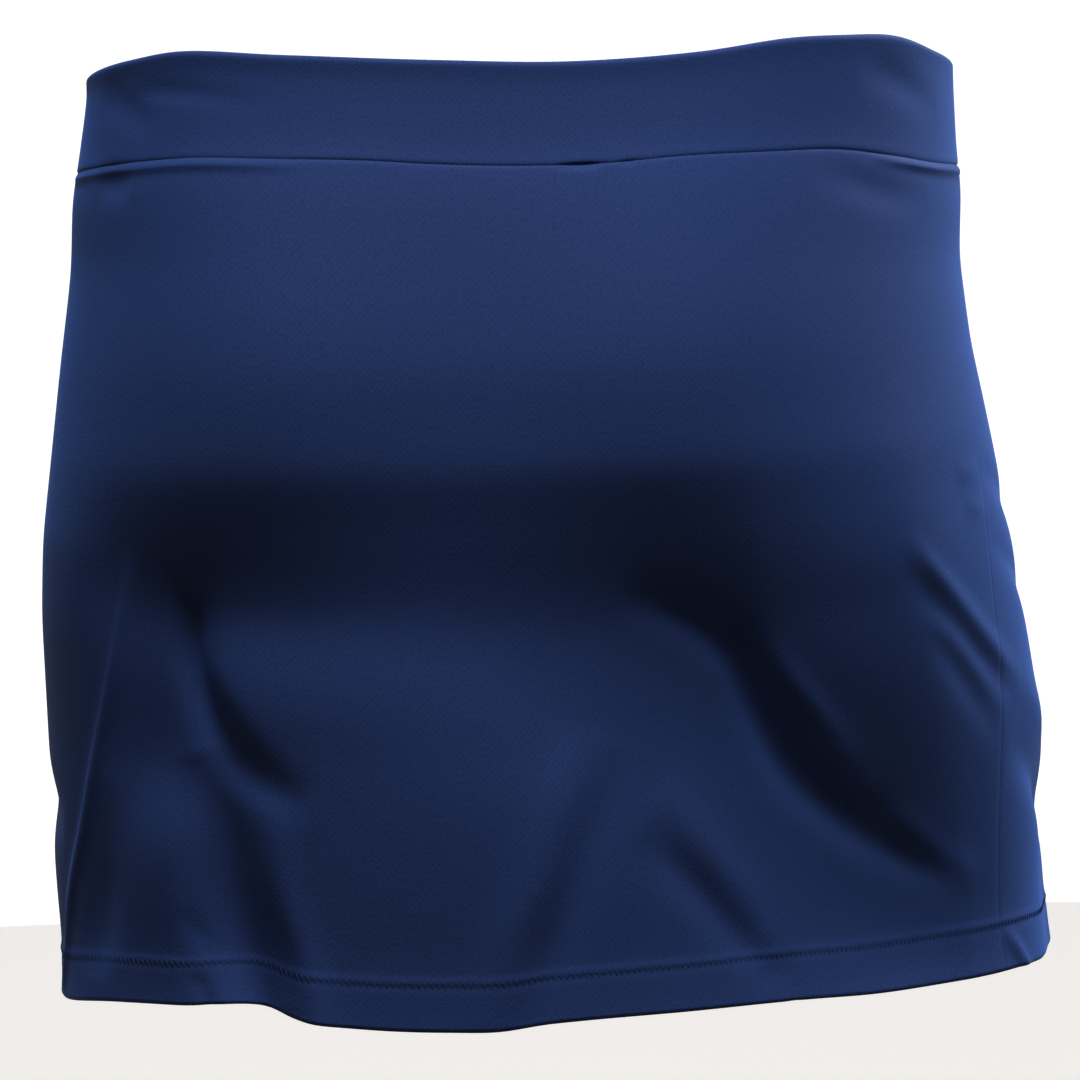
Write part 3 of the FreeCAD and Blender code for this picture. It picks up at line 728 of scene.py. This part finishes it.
# ---------------------------------------------------------------- the care label
def make_care_label():
    """A blank tape, folded double at its lower end, hanging a little askew inside the centre back."""
    low, high = (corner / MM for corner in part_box("care_label"))
    width, ply, fold, steps = high.x - low.x, 0.25, 0.35, 20
    turn, curl_out, ripple = math.radians(3), 2.2, 0.9
    down = np.linspace(high.z, low.z + fold, steps)
    turns = np.radians(np.linspace(0, 180, 9))
    level = np.concatenate([np.zeros(steps), fold * (1 - np.cos(turns[1:-1])), np.full(steps, 2 * fold)])
    height = np.concatenate([down, low.z + fold - fold * np.sin(turns[1:-1]), down[::-1]])
    step_up, step_level = np.gradient(height), np.gradient(level)
    length = np.hypot(step_up, step_level)
    side = np.linspace(-width / 2, width / 2, 17)

    def tape(offset):
        y = level - offset * step_up / length
        z = height + offset * step_level / length
        hang = (high.z - z)[:, None] / (high.z - low.z)
        curl = curl_out * hang ** 2 + ripple * hang * np.sin(side / width * 5)
        x = (low.x + high.x) / 2 + side * math.cos(turn) + 0 * hang
        back = (low.y + high.y) / 2 - fold - side * math.sin(turn)
        return np.stack([x, back + y[:, None] + curl, z[:, None] + 0 * side], axis=-1)

    run = np.cumsum(length)[:, None]
    cloth = np.stack([run + 0 * side, side + 0 * run, 0 * side + 0 * run], axis=-1)
    body = shell(tape(0), tape(ply), cloth)
    label = new_piece("blank_label_tape", "care_label", "label_tape", (body, LABEL_TAPE))


# ---------------------------------------------------------------- the whole skirt
for panel_half in ("back", "front"):
    make_panel(panel_half)
    make_band_outer(panel_half)
    make_band_facing(panel_half)
for seam_side, seam_points in (("left", LEFT_SEAM), ("right", RIGHT_SEAM)):
    make_band_seam(seam_side, seam_points)
    make_side_overlock(seam_side, seam_points)
make_elastic()
make_elastic_join()
make_waist_overlock()
make_hem_stitches()
make_care_label()


# ---------------------------------------------------------------- floor, lights and camera
def stage_surface(name, points, faces, glow):
    """A pale surface of the studio. It isn't part of the skirt and adds no diffuse light to it."""
    mesh = bpy.data.meshes.new(name)
    mesh.from_pydata(points, [], faces)
    material, _, _, shader = new_material(name, (0.8, 0.8, 0.8), 0.9)
    shader.inputs["Emission Color"].default_value = (1, 1, 1, 1)
    shader.inputs["Emission Strength"].default_value = glow
    mesh.materials.append(material)
    surface = bpy.data.objects.new(name, mesh)
    surface.visible_diffuse = False
    bpy.context.scene.collection.objects.link(surface)


def make_studio():
    """A wide pale floor far below the skirt, a bright wall far away all round it, and a dim fill."""
    level, radius, top, sides = -1.75, 9.0, 5.0, 72
    turns = np.arange(sides) * 2 * math.pi / sides
    ring = [(radius * math.cos(turn), radius * math.sin(turn)) for turn in turns]
    low = [(x, y, level) for x, y in ring]
    high = [(x, y, top) for x, y in ring]
    stage_surface("floor", low, [tuple(range(sides))], glow=0.7)
    walls = [(k, (k + 1) % sides, sides + (k + 1) % sides, sides + k) for k in range(sides)]
    stage_surface("wall", low + high, walls, glow=1.0)
    world = bpy.data.worlds.new("studio")
    world.use_nodes = True
    world.node_tree.nodes["Background"].inputs["Color"].default_value = (1, 0.80, 0.62, 1)
    world.node_tree.nodes["Background"].inputs["Strength"].default_value = 0.15
    bpy.context.scene.world = world


def aim(thing, eye, target):
    """Put a light or the camera at eye, looking at target."""
    thing.location = eye
    thing.rotation_euler = (Vector(target) - Vector(eye)).to_track_quat("-Z", "Y").to_euler()


def area_light(name, eye, size, power):
    """A round soft light, aimed at the middle of the skirt."""
    light = bpy.data.lights.new(name, "AREA")
    light.shape = "DISK"
    light.size = size
    light.energy = power
    lamp = bpy.data.objects.new(name, light)
    bpy.context.scene.collection.objects.link(lamp)
    aim(lamp, eye, (0, 0, -0.15))


def make_lights():
    """A soft key high above the back, a light past the right edge, and a fill on the side of the front."""
    area_light("key", (-0.06, -0.8, 2.0), size=0.9, power=134)
    area_light("right_edge", (2.0, 0.85, 1.0), size=0.6, power=75)
    area_light("front_fill", (0.6, 2.0, 1.2), size=1.0, power=40)


def make_camera():
    """A long lens at waist height, to the left of the centre back and turned slightly on its side."""
    azimuth, distance, eye_height = math.radians(-20), 2.1, 0.027
    pitch, roll = math.radians(5.48), math.radians(-1.3)
    lens = bpy.data.cameras.new("camera")
    lens.angle = math.radians(10.58)
    camera = bpy.data.objects.new("camera", lens)
    bpy.context.scene.collection.objects.link(camera)
    eye = Vector((math.sin(azimuth) * distance, -math.cos(azimuth) * distance, eye_height))
    aim(camera, eye, eye + Vector((-math.sin(azimuth), math.cos(azimuth), -math.tan(pitch))))
    camera.rotation_euler.rotate_axis("Z", roll)
    bpy.context.scene.camera = camera


bpy.context.scene.view_settings.view_transform = "Standard"
make_studio()
make_lights()
make_camera()
